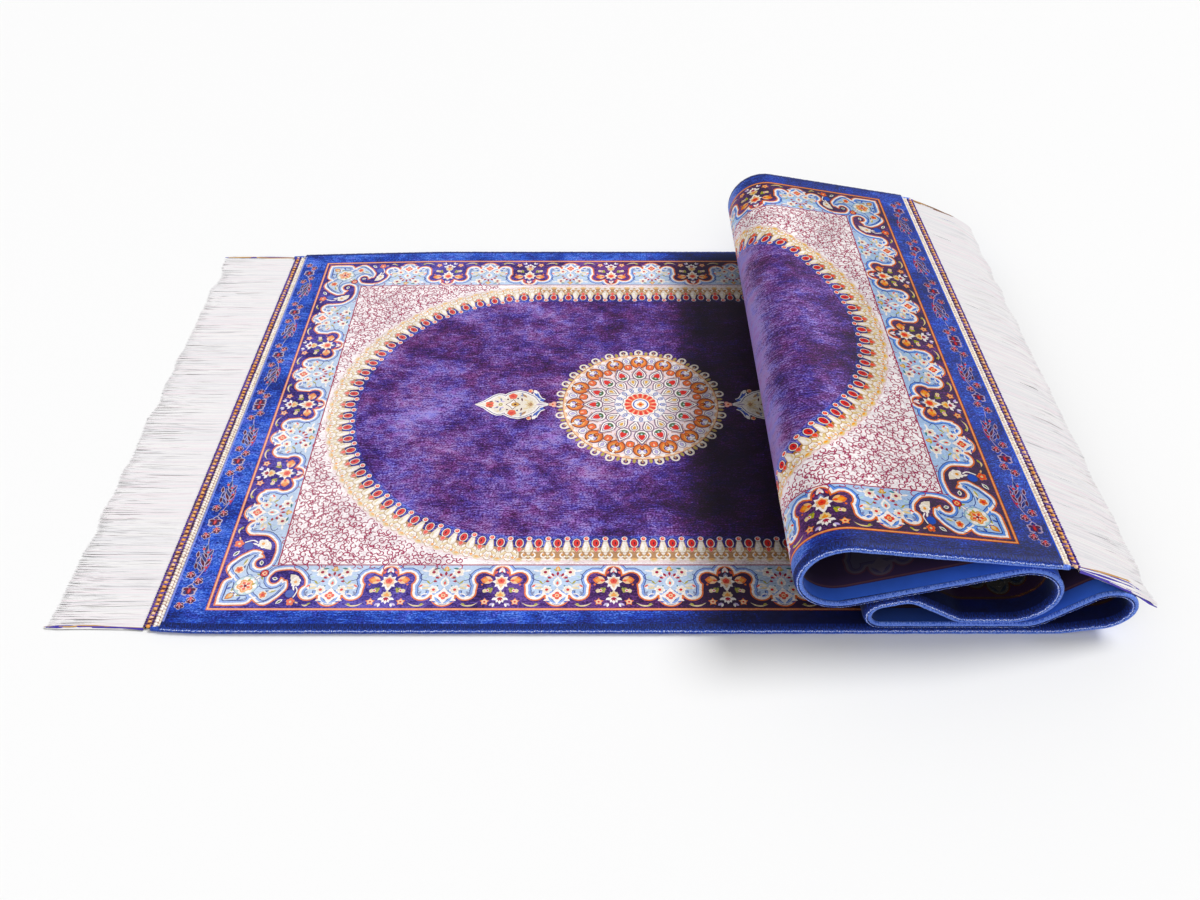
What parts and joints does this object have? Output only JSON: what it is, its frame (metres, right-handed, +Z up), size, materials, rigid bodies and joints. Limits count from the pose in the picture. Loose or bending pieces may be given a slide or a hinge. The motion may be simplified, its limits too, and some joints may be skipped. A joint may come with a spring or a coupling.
{
  "type": "folded runner rug",
  "caption": "Cut-pile runner rug with overcast sides and a fringe at each end, folded back and forth on itself at one end.",
  "frame": {"origin": "centre of the footprint of the folded rug, fringes included, on the surface it lies on", "axes": "+X along the rug from the flat end to the folded end, +Y across it to the back edge, +Z up, pile side of the bottom layer facing +Z"},
  "size_m": [0.9756, 0.602, 0.1217],
  "materials": {
    "pile": "cut pile with a silky sheen, patterned",
    "backing": "flat ground weave, faint mirrored pattern",
    "kilim": "flat-woven band with a chain of dyed stitches",
    "binding": "overcast yarn, soft sheen",
    "fringe": "loose silky strands, off-white"
  },
  "bodies": {
    "root": {"rug_cloth": "pile", "binding_front": "binding", "binding_back": "binding", "fringe_left": "fringe", "fringe_right": "fringe"}
  },
  "joints": []
}
